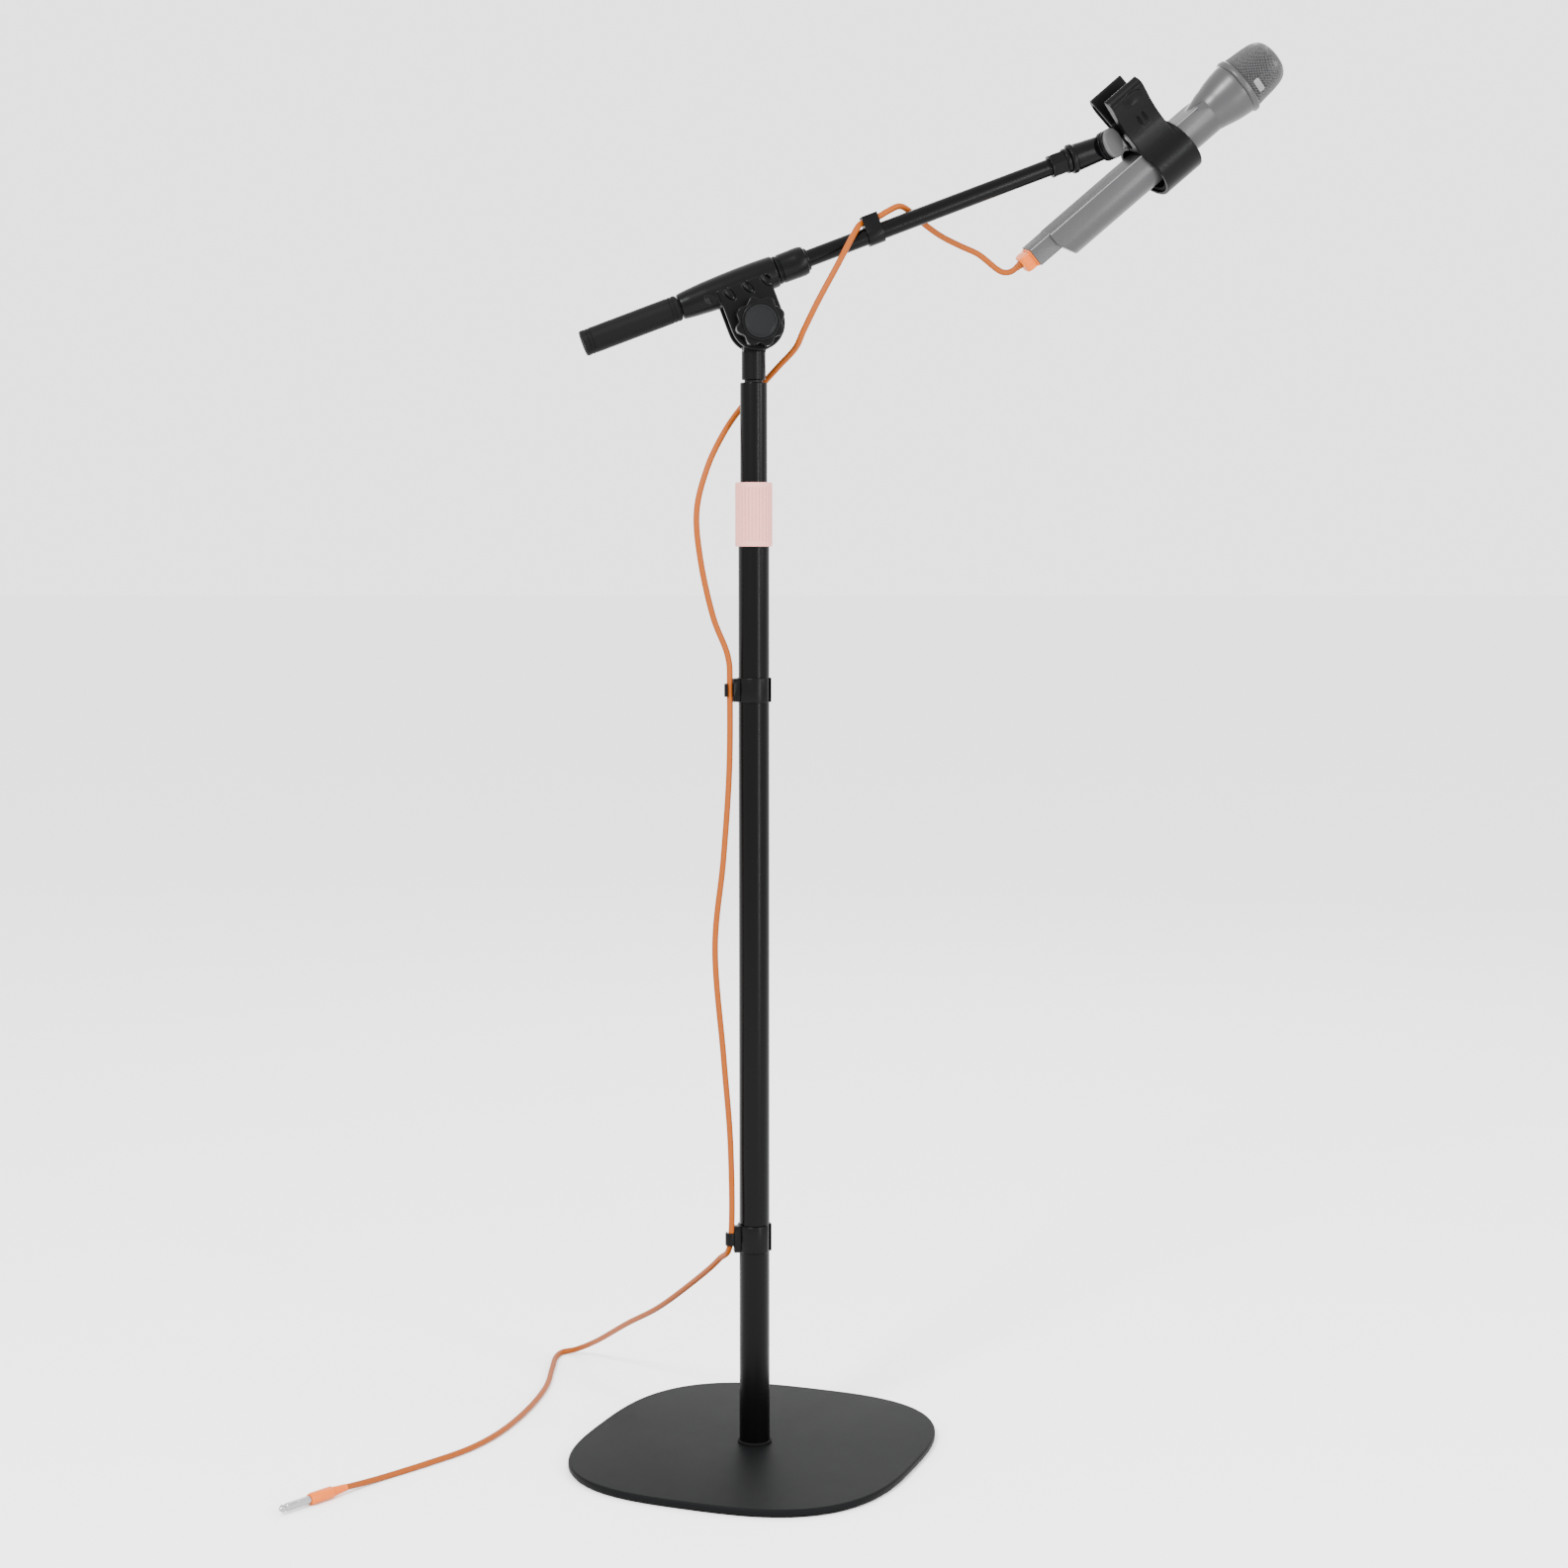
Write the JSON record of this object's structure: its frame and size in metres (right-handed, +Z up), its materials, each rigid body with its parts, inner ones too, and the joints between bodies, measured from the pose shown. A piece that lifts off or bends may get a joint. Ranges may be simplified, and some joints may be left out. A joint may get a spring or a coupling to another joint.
{
  "type": "microphone on boom stand",
  "caption": "Handheld microphone in a spring clip on a telescopic boom stand with a rounded-square base, cable clips and an orange lead.",
  "frame": {"origin": "pole axis at floor level, on the underside of the base mat", "axes": "+Z up the pole, +X along the boom's reach towards the microphone, +Y away from the locking knob"},
  "size_m": [0.8304, 0.453, 1.171],
  "materials": {
    "base_paint": "satin powder coat",
    "tube_paint": "satin black",
    "rubber": "matte",
    "grip_rubber": "matte soft grip",
    "steel": "zinc plated",
    "steel_light": "satin",
    "black_plastic": "fine moulded texture",
    "nylon": "matte",
    "nylon_black": "matte",
    "friction": "matte",
    "pink_grip": "soft satin",
    "brass": "turned",
    "grey_plastic": "satin",
    "mic_metal": "satin bead blast",
    "grille": "woven wire",
    "foam": "open cell",
    "badge": "satin",
    "orange_plastic": "satin moulded",
    "orange_cord": "matte jacket"
  },
  "bodies": {
    "stand": {"base_plate": "base_paint", "rubber_mat": "rubber", "base_bolt": "steel", "base_washer": "steel", "foot_plug": "steel", "foot_collar": "black_plastic", "lower_tube": "tube_paint", "clutch_ferrule": "black_plastic", "clutch_collet": "nylon", "pole_clip_upper": "black_plastic", "pole_clip_lower": "black_plastic", "cord_9": "orange_cord", "plug": "orange_plastic"},
    "clutch": {"clutch_grip": "pink_grip"},
    "column": {"upper_tube": "tube_paint", "glide_bush": "nylon", "top_plug": "nylon_black", "swivel_washer": "nylon_black", "cord_8": "orange_cord"},
    "neck": {"neck": "tube_paint", "friction_washers": "friction", "cord_7": "orange_cord"},
    "holder": {"boom_holder": "black_plastic", "pivot_bolt": "steel", "cord_6": "orange_cord"},
    "knob": {"knob": "black_plastic", "knob_nut": "brass", "knob_cap": "nylon_black"},
    "collar": {"lock_collar": "black_plastic"},
    "boom": {"boom_tube": "tube_paint", "rear_grip": "grip_rubber", "grip_cap": "black_plastic", "boom_clip": "black_plastic", "tip_insert": "tube_paint", "cord_4": "orange_cord", "cord_5": "orange_cord"},
    "lock_nut": {"lock_nut": "black_plastic"},
    "adapter": {"adapter_sleeve": "black_plastic", "thread_insert": "brass", "swivel_screw": "steel", "swivel_cap": "grey_plastic", "cord_3": "orange_cord"},
    "clip": {"fixed_jaw": "black_plastic", "hinge_pin": "steel", "jaw_spring": "steel", "fixed_liner": "rubber", "cord_2": "orange_cord"},
    "moving_jaw": {"moving_jaw": "black_plastic", "moving_liner": "rubber"},
    "microphone": {"mic_barrel": "mic_metal", "mic_neck": "mic_metal", "grille_ring": "mic_metal", "mic_grille": "grille", "grille_foam": "foam", "capsule": "steel_light", "capsule_mount": "rubber", "mic_badge": "badge", "cord_connector": "orange_plastic", "cord_relief": "orange_cord", "cord_1": "orange_cord"}
  },
  "joints": [
    {"name": "clutch_twist", "type": "hinge", "parent": "stand", "child": "clutch", "pos_m": [0, 0, 0.783], "axis": [0, 0, 1], "range_deg": [0, 120]},
    {"name": "height_slide", "type": "slide", "parent": "stand", "child": "column", "axis": [0, 0, 1], "range_m": [-0.07, 0.45], "deforming": ["cord_8"]},
    {"name": "boom_swivel", "type": "hinge", "parent": "column", "child": "neck", "pos_m": [0, 0, 0.9], "axis": [0, 0, 1], "continuous": true, "deforming": ["cord_7"]},
    {"name": "boom_tilt", "type": "hinge", "parent": "neck", "child": "holder", "pos_m": [0.002, 0, 0.9365], "axis": [0, -1, 0], "range_deg": [-50, 45], "deforming": ["cord_6"]},
    {"name": "knob_turn", "type": "hinge", "parent": "holder", "child": "knob", "pos_m": [0.002, 0, 0.9365], "axis": [0, -1, 0], "range_deg": [0, 720]},
    {"name": "collar_turn", "type": "hinge", "parent": "holder", "child": "collar", "pos_m": [0.02709, 0, 0.98276], "axis": [0.9336, 0, 0.3584], "range_deg": [0, 120]},
    {"name": "boom_slide", "type": "slide", "parent": "holder", "child": "boom", "axis": [0.9336, 0, 0.3584], "range_m": [-0.04, 0], "deforming": ["cord_5"]},
    {"name": "lock_nut_turn", "type": "hinge", "parent": "boom", "child": "lock_nut", "pos_m": [0.25115, 0, 1.06877], "axis": [0.9336, 0, 0.3584], "range_deg": [0, 180]},
    {"name": "adapter_turn", "type": "hinge", "parent": "boom", "child": "adapter", "pos_m": [0.26982, 0, 1.07594], "axis": [0.9336, 0, 0.3584], "range_deg": [-90, 90], "deforming": ["cord_3"]},
    {"name": "clip_swivel", "type": "hinge", "parent": "adapter", "child": "clip", "pos_m": [0.29402, -0.0023, 1.08523], "axis": [0.6001, -0.766, 0.2304], "range_deg": [-15, 50], "deforming": ["cord_2"]},
    {"name": "jaw_pinch", "type": "hinge", "parent": "clip", "child": "moving_jaw", "pos_m": [0.32703, 0.00142, 1.10592], "axis": [-0.7508, 0.1055, -0.6521], "range_deg": [0, 20], "stiffness_Nm_per_rad": 0.6, "springref_deg": -22.92},
    {"name": "mic_slide", "type": "slide", "parent": "clip", "child": "microphone", "axis": [0.7508, -0.1055, 0.6521], "range_m": [-0.02, 0.1], "deforming": ["cord_1"]}
  ]
}
